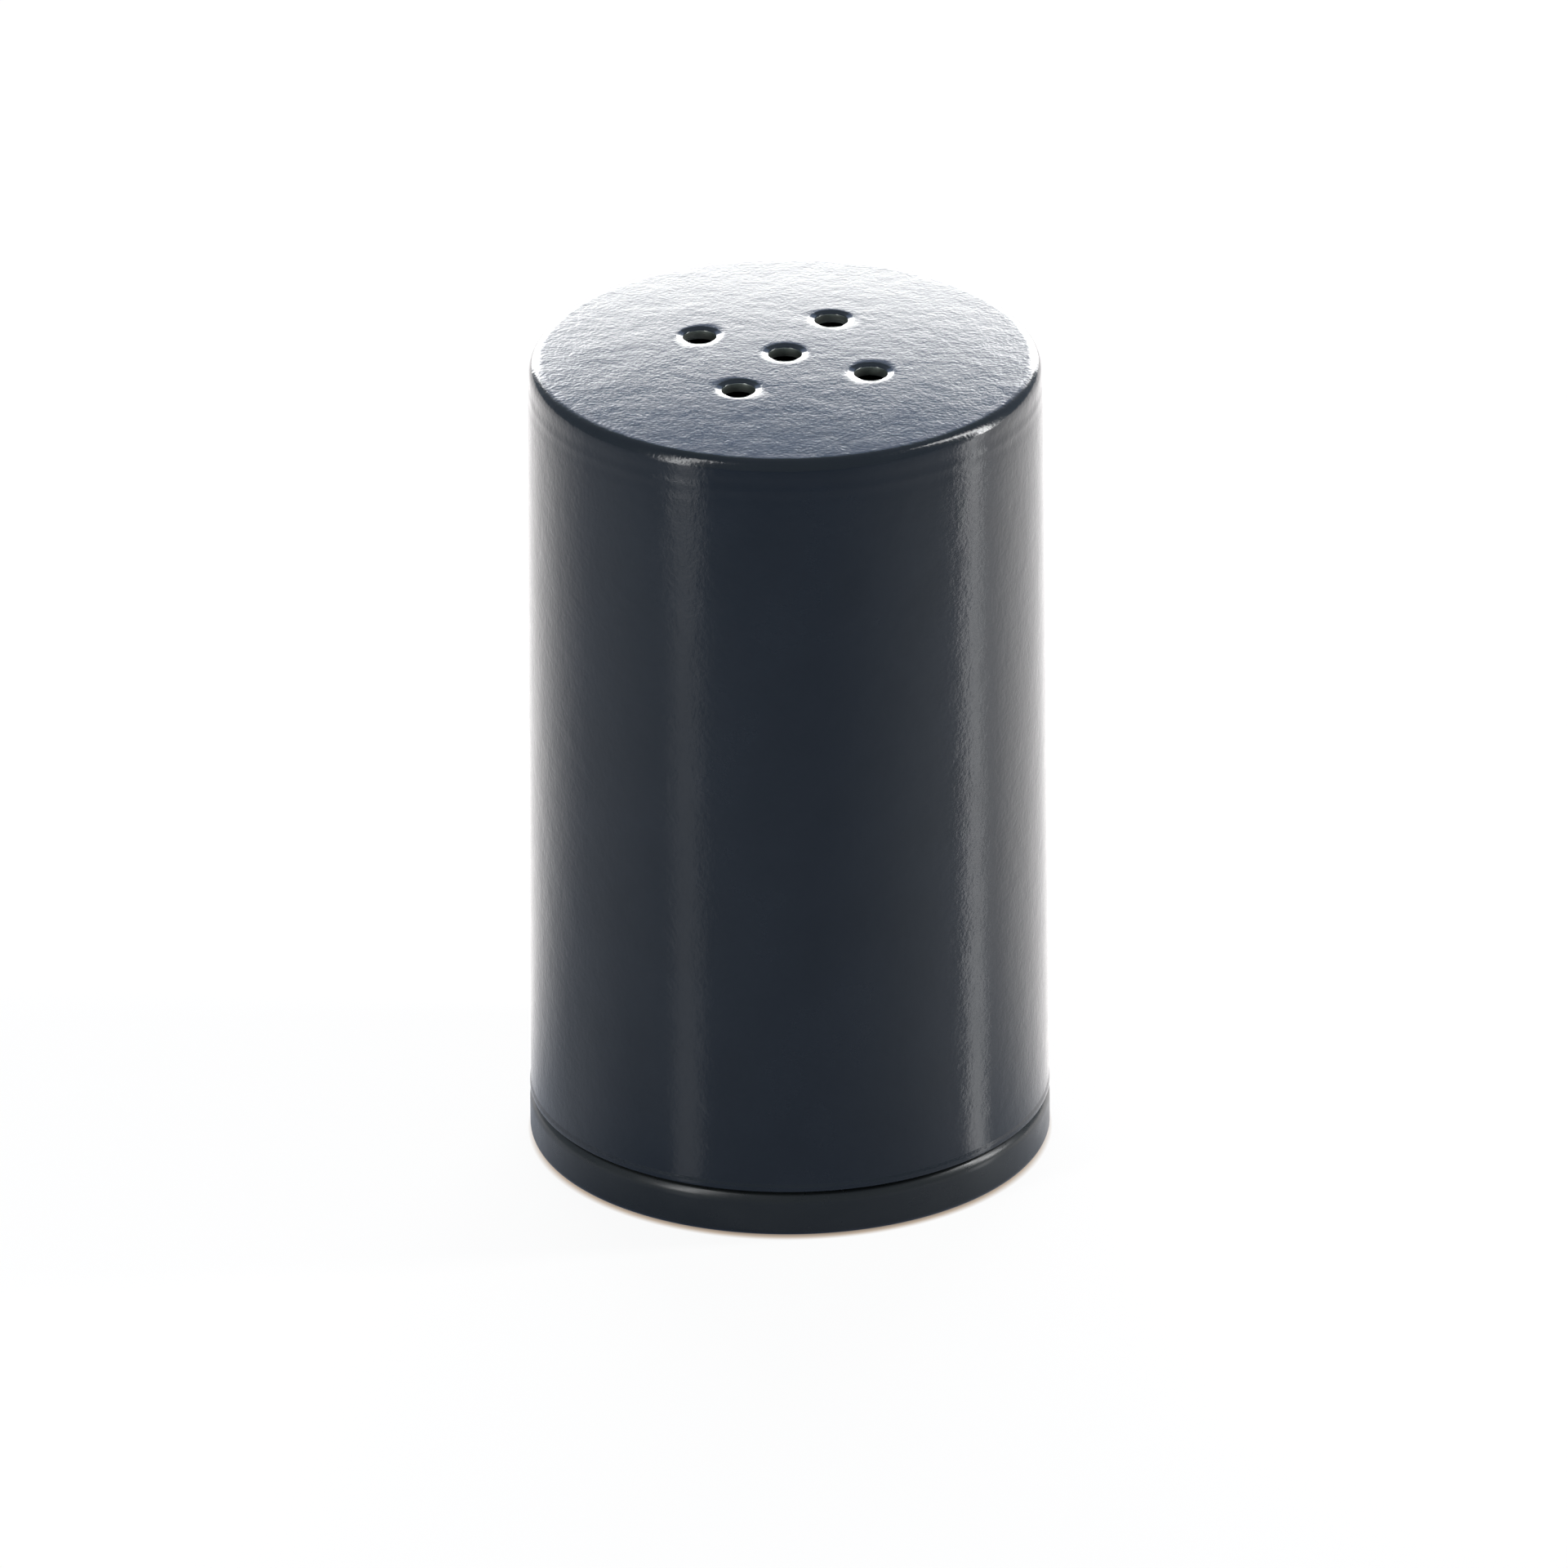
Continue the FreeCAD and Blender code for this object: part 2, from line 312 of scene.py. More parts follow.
def satin_coat():
    """Cloudy black over cloudy gloss, giving way to smooth coat in the dishes and to bare steel in
    the holes."""
    material, tree, shader, place = new_finish("satin_black_coat")
    bare = carried(tree, BARE_NAME)
    pressed = carried(tree, PRESSED_NAME)
    cloudy = spread(tree, noise(tree, place, COAT_CLOUDS, detail=3.0), 0.0, 1.0)
    coated = blend_colours(tree, cloudy, COAT_DARK, COAT_LIGHT)
    tree.links.new(blend_colours(tree, bare, coated, BARE_STEEL), shader.inputs["Base Color"])
    tree.links.new(bare, shader.inputs["Metallic"])
    clouds = noise(tree, place, GLOSS_CLOUDS, detail=4.0, roughness=0.6)
    gloss = spread(tree, clouds, *COAT_GLOSS)
    gloss = shifted(tree, pressed, gloss, PRESSED_ROUGHNESS)
    gloss = shifted(tree, bare, gloss, BARE_ROUGHNESS)
    tree.links.new(gloss, shader.inputs["Roughness"])
    tree.links.new(coat_relief(tree, place, pressed), shader.inputs["Normal"])
    shader.inputs["IOR"].default_value = COAT_IOR
    return material


coat = satin_coat()
print("finish:", coat.name)

# %% [markdown]
# ## Moulded plastic, silicone and rubber
#
# The base is moulded in black plastic, a touch greener and more even than the coat. The seal is
# soft pale silicone, and the foot pad is rubber with a fine grain, which is rougher than anything
# else here. All of them are one recipe with other numbers.

# %% Moulded finishes
BASE_DARK = (0.0122, 0.0140, 0.0132)
BASE_LIGHT = (0.0155, 0.0176, 0.0166)
SILICONE_DARK = (0.22, 0.225, 0.225)
SILICONE_LIGHT = (0.28, 0.285, 0.285)
RUBBER_DARK = (0.010, 0.010, 0.011)
RUBBER_LIGHT = (0.018, 0.018, 0.019)
MOULD_CLOUDS = 4.0
MOULD_GLOSS_CLOUDS = 1.5


def moulded(name, dark, light, gloss, grain, depth):
    """A moulding: clouds of colour, clouds of gloss between two roughnesses, and a fine grain from
    the mould's texture, whose size and depth are in millimetres."""
    material, tree, shader, place = new_finish(name)
    cloudy = spread(tree, noise(tree, place, MOULD_CLOUDS, detail=3.0), 0.0, 1.0)
    tree.links.new(blend_colours(tree, cloudy, dark, light), shader.inputs["Base Color"])
    rough = spread(tree, noise(tree, place, MOULD_GLOSS_CLOUDS, detail=3.0), *gloss)
    tree.links.new(rough, shader.inputs["Roughness"])
    texture = noise(tree, place, grain, detail=3.0, roughness=0.6)
    tree.links.new(relief(tree, texture, depth), shader.inputs["Normal"])
    return material


base_plastic = moulded("satin_moulded_plastic", BASE_DARK, BASE_LIGHT,
                       gloss=(0.26, 0.33), grain=0.35, depth=0.0025)
collar_plastic = moulded("plain_moulded_plastic", BASE_DARK, BASE_LIGHT,
                         gloss=(0.42, 0.5), grain=0.3, depth=0.003)
silicone = moulded("pale_silicone", SILICONE_DARK, SILICONE_LIGHT,
                   gloss=(0.5, 0.6), grain=0.25, depth=0.003)
rubber = moulded("grained_rubber", RUBBER_DARK, RUBBER_LIGHT,
                 gloss=(0.6, 0.75), grain=0.2, depth=0.012)
print("finishes:", base_plastic.name, collar_plastic.name, silicone.name, rubber.name)

# %% [markdown]
# ## The shell, first as a straight cup
#
# The shell is the piece that is seen. It could be cut out of a turned solid with booleans, but
# their edges shade badly. Here the flat end is divided into five cells, one round each pour hole,
# whose rows of points run from the cell's edge to the hole, through it and back underneath. A
# turned grid carries on from the outer cells over the shoulder, down the wall, round the lip and up
# the inside.

# %% Sizes of the shell
shell_low, shell_high = (np.array(corner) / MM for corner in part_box("shaker_shell"))
BODY_RADIUS = shell_high[0]
SHELL_FOOT = shell_low[2]
SHELL_TOP = shell_high[2]
SHELL_WALL = 0.8
print(f"shell: radius {BODY_RADIUS:.2f}, from {SHELL_FOOT:.2f} to {SHELL_TOP:.2f} mm")

# %% Section of a pour hole
HOLE_RADIUS = 1.3
HOLE_EDGE_ROUND = 0.1
DISH_RADIUS = 1.82
DISH_DEPTH = 0.11
DISH_STEPS = 16


def dish(distance, end):
    """How far the sheet is pressed down at a distance from a hole's axis: the depth times the
    share of the way in from the dish's edge, which is a shallow cone."""
    return DISH_DEPTH * np.clip((DISH_RADIUS - distance) / (DISH_RADIUS - end), 0, 1)


def hole_section():
    """Distance from the hole's axis and height below the top, from the dish's edge, round the
    upper edge, down the hole, round the lower edge and out underneath to the same distance."""
    slope = math.atan(DISH_DEPTH / (DISH_RADIUS - HOLE_RADIUS))
    end = HOLE_RADIUS + HOLE_EDGE_ROUND * (1 - math.sin(slope))
    way_in = DISH_RADIUS + (end - DISH_RADIUS) * np.linspace(0, 1, DISH_STEPS + 1)
    upper = np.linspace(math.pi / 2 + slope, math.pi, ROUND_STEPS)[1:]
    upper_height = -DISH_DEPTH - HOLE_EDGE_ROUND * math.cos(slope)
    lower = np.linspace(math.pi, 3 * math.pi / 2, ROUND_STEPS)
    lower_height = -DISH_DEPTH - SHELL_WALL + HOLE_EDGE_ROUND
    edge_centre = HOLE_RADIUS + HOLE_EDGE_ROUND
    share = np.linspace(0, 1, DISH_STEPS // 2 + 1)[1:]
    way_out = edge_centre + (DISH_RADIUS - edge_centre) * share
    distance = np.concatenate([way_in, edge_centre + HOLE_EDGE_ROUND * np.cos(upper),
                               edge_centre + HOLE_EDGE_ROUND * np.cos(lower), way_out])
    height = np.concatenate([-dish(way_in, end), upper_height + HOLE_EDGE_ROUND * np.sin(upper),
                             lower_height + HOLE_EDGE_ROUND * np.sin(lower),
                             -SHELL_WALL - dish(way_out, edge_centre)])
    return distance, height


# %% Cells of the flat end
HOLE_PITCH_RADIUS = 7.6
HOLE_TURN = math.radians(-28.6)
RING_HOLES = 4
CELL_INNER_RADIUS = 4.4
CELL_OUTER_RADIUS = 10.8
CELL_STEPS = 6


def cell_grid(boundary, centre):
    """Points of one cell, in rows: straight in plan from the cell's boundary towards the hole's
    axis, as far as the dish, then circles round the hole, and out again underneath."""
    ray = boundary - centre
    reach = np.linalg.norm(ray, axis=1)
    distance, height = hole_section()
    share = np.linspace(1, 0, CELL_STEPS + 1)[:-1, None]
    approach = DISH_RADIUS + (reach - DISH_RADIUS) * share
    circles = distance[:, None] + 0 * reach
    away = np.concatenate([approach, circles, approach[::-1]])
    drop = np.concatenate([np.zeros(CELL_STEPS), height, np.full(CELL_STEPS, -SHELL_WALL)])
    plan = centre + away[:, :, None] * (ray / reach[:, None])
    return np.concatenate([plan, SHELL_TOP + drop[:, None, None] + 0 * plan[:, :, :1]], axis=2)


def arc_points(radius, start, end):
    """Points in plan on a circle round the axis, without the last one."""
    angles = np.linspace(start, end, SIDE_STEPS, endpoint=False)
    return radius * np.stack([np.cos(angles), np.sin(angles)], axis=1)


def ring_cell(middle):
    """Boundary in plan of an outer cell: out along one side, round, in along the other and back."""
    start, end = middle - math.pi / RING_HOLES, middle + math.pi / RING_HOLES
    share = np.linspace(0, 1, SIDE_STEPS, endpoint=False)[:, None]
    inwards = CELL_OUTER_RADIUS + (CELL_INNER_RADIUS - CELL_OUTER_RADIUS) * share
    outwards = CELL_INNER_RADIUS + (CELL_OUTER_RADIUS - CELL_INNER_RADIUS) * share
    return np.concatenate([
        arc_points(CELL_OUTER_RADIUS, start, end),
        inwards * np.array([math.cos(end), math.sin(end)]),
        arc_points(CELL_INNER_RADIUS, end, start),
        outwards * np.array([math.cos(start), math.sin(start)])])


ring_angles = HOLE_TURN + np.arange(RING_HOLES) * 2 * math.pi / RING_HOLES
ring_axes = HOLE_PITCH_RADIUS * np.stack([np.cos(ring_angles), np.sin(ring_angles)], axis=1)
first_angle = HOLE_TURN - math.pi / RING_HOLES
round_middle = turned(np.array([[CELL_INNER_RADIUS, 0.0]]), first_angle)[0, :, :2]
shell_grids = [(cell_grid(round_middle, np.zeros(2)), True)]
for angle, axis in zip(ring_angles, ring_axes):
    shell_grids.append((cell_grid(ring_cell(angle), axis), True))
print(f"{len(shell_grids)} cells of {shell_grids[0][0].shape[0]} rows")

# %% The cup round the cells
SHOULDER_ROUND = 0.85
WALL_ROWS = (2.4, 4.8)
BEAD_START = 0.66
BEAD_START_ROUND = 0.12
LIP_BEAD = 0.08
BEAD_FULL = 0.38
BEAD_ROUND = 0.2
LIP_ROUND = 0.16
LIP_INNER_ROUND = 0.12
INNER_ROUND = 0.35

bore = BODY_RADIUS - SHELL_WALL
ceiling = SHELL_TOP - SHELL_WALL
bead_radius = BODY_RADIUS + LIP_BEAD
cup = section((CELL_OUTER_RADIUS, SHELL_TOP),
              (BODY_RADIUS, SHELL_TOP, SHOULDER_ROUND),
              *((BODY_RADIUS, SHELL_TOP - drop) for drop in WALL_ROWS),
              (BODY_RADIUS, SHELL_FOOT + BEAD_START, BEAD_START_ROUND),
              (bead_radius, SHELL_FOOT + BEAD_FULL, BEAD_ROUND),
              (bead_radius, SHELL_FOOT, LIP_ROUND),
              (bore, SHELL_FOOT, LIP_INNER_ROUND),
              (bore, ceiling, INNER_ROUND),
              (CELL_OUTER_RADIUS, ceiling))
shell_grids.append((turned(cup, first_angle), True))
print(f"cup: {len(cup)} rows of {COLUMNS} points")

# %% [markdown]
# ## Drawing the cup into its real form
#
# A drawn cup isn't straight. Its end is crowned, because the sheet springs back, its wall leans in a
# little towards the end, and the press leaves faint rings under the shoulder. The mouth keeps a
# small bead, which is the widest place. Each is one formula on all points together, so the cells,
# the wall and the inside stay joined and the sheet keeps its thickness.

# %% Crown, draft, lean and rings
CROWN = 0.5
DRAFT = 0.4
LEAN = 0.1
LEAN_HEIGHT = 5.0
RING_DEPTH = 0.015
RING_PITCH = 1.3
RING_START = 0.475


def drawn_form(points):
    """Five bends of the straight cup. Mouth: every radius shrinks by the bead's height, so that the
    bead stands at the body's radius. Draft: it shrinks again in proportion to the height above the
    mouth. Lean: near the end it shrinks along a straight slope, which starts softly. Rings: a cosine
    of the drop below the end, faded out with the lean. Crown: a point sinks by the square of its
    share of the radius, in proportion to height."""
    x, y, z = points[..., 0], points[..., 1], points[..., 2]
    height_share = (z - SHELL_FOOT) / (SHELL_TOP - SHELL_FOOT)
    radius_share = np.hypot(x, y) / BODY_RADIUS
    drop = SHELL_TOP - z
    way_up = np.clip(1 - drop / LEAN_HEIGHT, 0, 1)
    lean = LEAN * way_up * (1 - (1 - way_up) ** 4)
    turns = (drop - RING_START) / RING_PITCH
    rings = RING_DEPTH * np.cos(2 * np.pi * turns) * np.sin(np.pi * way_up) ** 2
    narrowing = 1 - (LIP_BEAD + DRAFT * height_share + lean + rings) / BODY_RADIUS
    sinking = CROWN * radius_share ** 2 * height_share
    return np.stack([x * narrowing, y * narrowing, z - sinking], axis=-1)


shell_grids = [(drawn_form(grid), wrap) for grid, wrap in shell_grids]
drawn_shell = make_piece("drawn_shell", shell_grids, coat, "shell", "shaker_shell")

# %% [markdown]
# ## Bare steel and smooth dishes
#
# The coat's finish needs to know where a hole is. A texture could be drawn round each hole, but the
# mesh knows already: the distance of each point from the nearest hole's axis, measured on the
# straight cup, gives both masks. They are kept on the points, so they move with the piece.

# %% Masks round the pour holes
BARE_REACH = 0.003
BARE_FADE = 0.01
PRESSED_FADE = 0.1

# The end is narrowed by this factor, so dividing by it leads back to the straight cup.
narrowed = 1 - (LIP_BEAD + DRAFT + LEAN) / BODY_RADIUS
hole_axes = np.concatenate([[[0.0, 0.0]], ring_axes])
places = np.empty(len(drawn_shell.data.vertices) * 3)
drawn_shell.data.vertices.foreach_get("co", places)
plan = places.reshape(-1, 3)[:, None, :2] / MM / narrowed - hole_axes
nearest = np.hypot(plan[..., 0], plan[..., 1]).min(axis=1)
bare = np.clip((HOLE_RADIUS + BARE_REACH + BARE_FADE - nearest) / BARE_FADE, 0, 1)
pressed = np.clip((DISH_RADIUS - nearest) / PRESSED_FADE, 0, 1)
for attribute, values in ((BARE_NAME, bare), (PRESSED_NAME, pressed)):
    layer = drawn_shell.data.attributes.new(attribute, "FLOAT", "POINT")
    layer.data.foreach_set("value", values.astype(np.float32))
    print(f"{attribute}: {int((values > 0).sum())} points")

# %% [markdown]
# ## The thread
#
# The base's hollow spigot and the collar in the shell carry the same two-start thread. A ridge is a
# small trapezium carried up a helix: the height grows by the lead in each turn. At both ends it
# runs out into the wall, as a moulded thread does, so that it can be started by hand.

# %% Ridges of the thread
THREAD_LEAD = 6.0
THREAD_STARTS = 2
THREAD_RUN = 3.5
THREAD_ROOT = 1.65
THREAD_CREST = 0.95
THREAD_SUNK = 0.1
RUN_OUT = 0.12
RIDGE_STEPS = 160


def ridge_grid(root_radius, crest_radius, start_height, start_angle):
    """A closed trapezium carried up a helix, z = start + lead * angle / full turn. Its depth grows
    and fades by a quarter sine over a share of the length at each end."""
    turn = 2 * np.pi * THREAD_RUN / THREAD_LEAD
    share = np.linspace(0, 1, RIDGE_STEPS)
    nearest_end = np.minimum(share, 1 - share) / RUN_OUT
    depth = np.sin(np.pi / 2 * np.clip(nearest_end, 0, 1)) * (crest_radius - root_radius)
    inwards = math.copysign(THREAD_SUNK, root_radius - crest_radius)
    along = np.array([inwards, 0, 1, 1, 0, inwards, inwards])
    radius = np.where(np.abs(along) == 1, depth[:, None], along) + root_radius
    across = np.array([-1, -1, 0, 0, 1, 1, -1]) * THREAD_ROOT / 2
    across = across + np.array([0, 0, -1, 1, 0, 0, 0]) * THREAD_CREST / 2
    angle = start_angle + turn * share
    height = start_height + THREAD_LEAD * turn * share / (2 * np.pi)
    return np.stack([radius * np.cos(angle)[:, None], radius * np.sin(angle)[:, None],
                     height[:, None] + across], axis=-1)


def ridges(root_radius, crest_radius, start_height):
    """Both starts of the thread, each with its ends closed by a fan to a point."""
    grids = []
    for number in range(THREAD_STARTS):
        start_angle = number * 2 * np.pi / THREAD_STARTS
        ridge = ridge_grid(root_radius, crest_radius, start_height, start_angle)
        first = ridge[:1].mean(axis=1, keepdims=True) + 0 * ridge[:1]
        last = ridge[-1:].mean(axis=1, keepdims=True) + 0 * ridge[-1:]
        grids.append((np.concatenate([first, ridge, last]), False))
    return grids


# %% [markdown]
# ## The moulded base
#
# Only the flange shows while the shaker is closed: a band with a soft round at its top and a smaller
# one at its foot. The rest is here because the shell comes off: the hollow spigot, its lead-in and
# the well.

# %% Base
base_low, base_high = (np.array(corner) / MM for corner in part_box("base_cap"))
pad_low, pad_high = (np.array(corner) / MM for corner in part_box("foot_pad"))
FLANGE_HEIGHT = 3.65
FLANGE_TOP_ROUND = 1.0
FLANGE_FOOT_ROUND = 0.5
RECESS_RADIUS = 17.0
RECESS_ROUND = 0.2
RIM_ROUND = 0.15
SPIGOT_RADIUS = 16.45
SPIGOT_CREST = 17.35
SPIGOT_ROOT_ROUND = 0.2
LEAD_IN_ROUND = 0.4
WELL_RADIUS = 14.85
WELL_MOUTH_ROUND = 0.3
WELL_ROUND = 1.0
FLOOR_THICKNESS = 1.2
THREAD_START = 3.7

flange_top = base_low[2] + FLANGE_HEIGHT
recess_top = pad_high[2]
base_outline = section((0, recess_top),
                       (RECESS_RADIUS, recess_top, RECESS_ROUND),
                       (RECESS_RADIUS, base_low[2], RIM_ROUND),
                       (BODY_RADIUS, base_low[2], FLANGE_FOOT_ROUND),
                       (BODY_RADIUS, flange_top, FLANGE_TOP_ROUND),
                       (SPIGOT_RADIUS, flange_top, SPIGOT_ROOT_ROUND),
                       (SPIGOT_RADIUS, base_high[2], LEAD_IN_ROUND),
                       (WELL_RADIUS, base_high[2], WELL_MOUTH_ROUND),
                       (WELL_RADIUS, recess_top + FLOOR_THICKNESS, WELL_ROUND),
                       (0, recess_top + FLOOR_THICKNESS))
base_ridges = ridges(SPIGOT_RADIUS, SPIGOT_CREST, flange_top + THREAD_START)
make_piece("moulded_base", [(turned(base_outline), True)] + base_ridges,
           base_plastic, "base", "base_cap")

# %% [markdown]
# ## The collar, the seal and the pad
#
# The collar is glued into the shell's mouth and carries the inside thread, half a pitch below the
# spigot's, so that ridges and grooves alternate. The seal is a flat soft ring, which lies a
# hundredth of a millimetre off the flange because it turns on it. The pad under the base has
# moulded grip rings, which a wave in its underside makes.

# %% Collar
collar_low, collar_high = (np.array(corner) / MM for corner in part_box("thread_collar"))
COLLAR_BORE = 17.5
COLLAR_CREST = 16.6
COLLAR_MOUTH_ROUND = 0.35
COLLAR_OUTER_ROUND = 0.2
COLLAR_TOP_ROUND = 0.3

collar_outline = section((COLLAR_BORE, collar_low[2], COLLAR_MOUTH_ROUND),
                         (collar_high[0], collar_low[2], COLLAR_OUTER_ROUND),
                         (collar_high[0], collar_high[2], COLLAR_OUTER_ROUND),
                         (COLLAR_BORE, collar_high[2], COLLAR_TOP_ROUND), closed=True)
half_pitch = THREAD_LEAD / THREAD_STARTS / 2
collar_ridges = ridges(COLLAR_BORE, COLLAR_CREST, flange_top + THREAD_START - half_pitch)
make_piece("inner_collar", [(turned(collar_outline), True)] + collar_ridges,
           collar_plastic, "shell", "thread_collar")

# %% Seal
seal_low, seal_high = (np.array(corner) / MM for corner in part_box("seal_ring"))
SEAL_BORE = 16.5
SEAL_BORE_ROUND = 0.15
SEAL_EDGE_ROUND = 0.3
SEAL_FILM = 0.01

seal_foot = seal_low[2] + SEAL_FILM
seal_outline = section((SEAL_BORE, seal_foot, SEAL_BORE_ROUND),
                       (seal_high[0], seal_foot, SEAL_EDGE_ROUND),
                       (seal_high[0], seal_high[2], SEAL_EDGE_ROUND),
                       (SEAL_BORE, seal_high[2], SEAL_BORE_ROUND), closed=True)
make_piece("flat_seal", [(turned(seal_outline), True)],
           silicone, "seal", "seal_ring")

# %% Foot pad
GRIP_PITCH = 1.4
GRIP_DEPTH = 0.15
GRIP_FROM = 2.8
GRIP_RINGS = 9
GRIP_STEPS = 10
PAD_FOOT_ROUND = 0.25
PAD_TOP_ROUND = 0.1

grip_r = GRIP_FROM + GRIP_PITCH * np.linspace(0, GRIP_RINGS, GRIP_RINGS * GRIP_STEPS + 1)
grip_z = GRIP_DEPTH / 2 * (1 - np.cos(2 * np.pi * (grip_r - GRIP_FROM) / GRIP_PITCH))
grip_outline = np.stack([grip_r, pad_low[2] + grip_z], axis=1)
pad_edge = section((grip_r[-1], pad_low[2]), (pad_high[0], pad_low[2], PAD_FOOT_ROUND),
                   (pad_high[0], pad_high[2], PAD_TOP_ROUND), (0, pad_high[2]))
pad_outline = np.concatenate([[[0, pad_low[2]]], grip_outline, pad_edge[1:]])
make_piece("grip_pad", [(turned(pad_outline), True)],
           rubber, "base", "foot_pad")

# %% [markdown]
# ## Floor and surroundings
#
# The shaker stands on a plain white sweep. The camera sees it as white, with a dark contact line
# under the base's edge, which is painted shadow, and a soft shadow, so most of its brightness there
# is its own and the rest is the lamps'. In the shaker's gloss the sweep is bright behind and dim in
# front, where the shaker itself keeps the light off it; this light and shade is painted, as a glow
# by the direction from the shaker. The light that it gives to matt surfaces is that of plain paper.

# %% Helpers for the sweep's shades
HALF_WAY = 0.5


def from_middle(tree, operation):
    """A node that gives the length or the direction of the way from the middle to a point."""
    node = tree.nodes.new("ShaderNodeVectorMath")
    node.operation = operation
    tree.links.new(tree.nodes.new("ShaderNodeTexCoord").outputs["Object"], node.inputs[0])
    return node


def stretched(tree, value, low, high):
    """A value from low to high laid out from 0 to 1."""
    node = tree.nodes.new("ShaderNodeMapRange")
    node.inputs["From Min"].default_value = low
    node.inputs["From Max"].default_value = high
    tree.links.new(value, node.inputs["Value"])
    return node.outputs["Result"]


def glowing(tree, value, shades, interpolation):
    """A glow whose colour runs through shades, which are pairs of (place from 0 to 1, colour)."""
    ramp = tree.nodes.new("ShaderNodeValToRGB")
    ramp.color_ramp.interpolation = interpolation
    stops = ramp.color_ramp.elements
    while len(stops) < len(shades):
        stops.new(HALF_WAY)
    for stop, (position, colour) in zip(stops, shades):
        stop.position = position
        stop.color = (*colour, 1)
    tree.links.new(value, ramp.inputs["Fac"])
    glow = tree.nodes.new("ShaderNodeEmission")
    tree.links.new(ramp.outputs["Color"], glow.inputs["Color"])
    return glow.outputs[0]


def matt(tree, colour):
    """Matt paper of one colour."""
    node = tree.nodes.new("ShaderNodeBsdfDiffuse")
    node.inputs["Color"].default_value = (*colour, 1)
    return node.outputs[0]


def added(tree, first, second):
    """Two shaders on top of each other."""
    node = tree.nodes.new("ShaderNodeAddShader")
    tree.links.new(first, node.inputs[0])
    tree.links.new(second, node.inputs[1])
    return node.outputs[0]


def between(tree, share, first, second):
    """A mix of two shaders. The share is a number or another node's output."""
    node = tree.nodes.new("ShaderNodeMixShader")
    if isinstance(share, float):
        node.inputs["Fac"].default_value = share
    else:
        tree.links.new(share, node.inputs["Fac"])
    tree.links.new(first, node.inputs[1])
    tree.links.new(second, node.inputs[2])
    return node.outputs[0]


def bare_tree(block, output):
    """An emptied node tree of a material or world, and the socket that its surface goes into."""
    block.use_nodes = True
    block.node_tree.nodes.clear()
    return block.node_tree, block.node_tree.nodes.new(output).inputs["Surface"]


# %% White sweep
FLOOR_REACH = 6.0
PAPER = (0.8, 0.8, 0.8)
SEEN_PAPER = (1.0, 0.98, 0.95)
SHADOW_SHARE = 0.08
# Painted contact shadow: the seen glow goes near black, then warm, then white between these
# distances, in metres.
CONTACT_SHADOW_FROM = 0.0188
CONTACT_SHADOW_TO = 0.0202
PAINTED_CONTACT_SHADOW = ((0.0, (0.01, 0.006, 0.004)),
                  (0.6, (0.55, 0.45, 0.36)),
                  (1.0, (1.0, 1.0, 1.0)))
MIRRORED_PAPER = (0.25, 0.25, 0.25)
BRIGHT_TURN = math.radians(10)
# Painted shadow in front of the shaker and painted light behind it, as the sweep's gloss sees it.
PAINTED_FLOOR_LIGHT_AND_SHADE = ((0.0, (0.08, 0.12, 0.22)),
                (0.40, (0.35, 0.38, 0.45)),
                (0.85, (1.45, 1.40, 1.38)))


def seen_sweep(tree):
    """What the camera sees: a glow that goes from nearly black to white over the contact line, which
    is painted contact shadow, and a small share of lit paper, which brings the soft shadow."""
    distance = from_middle(tree, "LENGTH").outputs["Value"]
    under = stretched(tree, distance, CONTACT_SHADOW_FROM, CONTACT_SHADOW_TO)
    glow = glowing(tree, under, PAINTED_CONTACT_SHADOW, "LINEAR")
    return between(tree, SHADOW_SHARE, glow, matt(tree, SEEN_PAPER))


def mirrored_sweep(tree):
    """What gloss mirrors: a glow by the direction from the shaker, through the cosine of the angle
    to the brightest one, on top of weakly lit paper. The glow is painted light behind the shaker
    and painted shadow in front of it."""
    facing = tree.nodes.new("ShaderNodeVectorMath")
    facing.operation = "DOT_PRODUCT"
    facing.inputs[1].default_value = (math.sin(BRIGHT_TURN), math.cos(BRIGHT_TURN), 0)
    tree.links.new(from_middle(tree, "NORMALIZE").outputs["Vector"], facing.inputs[0])
    backwards = stretched(tree, facing.outputs["Value"], -1.0, 1.0)
    glow = glowing(tree, backwards, PAINTED_FLOOR_LIGHT_AND_SHADE, "EASE")
    return added(tree, glow, matt(tree, MIRRORED_PAPER))


def white_sweep():
    """Plain paper, another sight of it in gloss, and another one for the camera."""
    material = bpy.data.materials.new("white_sweep")
    tree, surface = bare_tree(material, "ShaderNodeOutputMaterial")
    path = tree.nodes.new("ShaderNodeLightPath")
    glossy, camera_ray = path.outputs["Is Glossy Ray"], path.outputs["Is Camera Ray"]
    lit = between(tree, glossy, matt(tree, PAPER), mirrored_sweep(tree))
    tree.links.new(between(tree, camera_ray, lit, seen_sweep(tree)), surface)
    return material


def stage_sheet(name, corners, material):
    """One flat sheet of the stage, which isn't part of the shaker."""
    mesh = bpy.data.meshes.new(name)
    mesh.from_pydata(corners, [], [(0, 1, 2, 3)])
    mesh.materials.append(material)
    sheet = bpy.data.objects.new(name, mesh)
    bpy.context.scene.collection.objects.link(sheet)
    return sheet


floor_corners = [(side * FLOOR_REACH, depth * FLOOR_REACH, 0)
                 for side, depth in ((-1, -1), (1, -1), (1, 1), (-1, 1))]
stage_sheet("sweep", floor_corners, white_sweep())
print(f"sweep: {2 * FLOOR_REACH:.0f} m across")

# %% Light from all round
AMBIENT = (0.28, 0.33, 0.40)
WHITE = (1, 1, 1)


def even_sky(tree, colour):
    """Light of one colour from every direction."""
    node = tree.nodes.new("ShaderNodeBackground")
    node.inputs["Color"].default_value = (*colour, 1)
    return node.outputs[0]


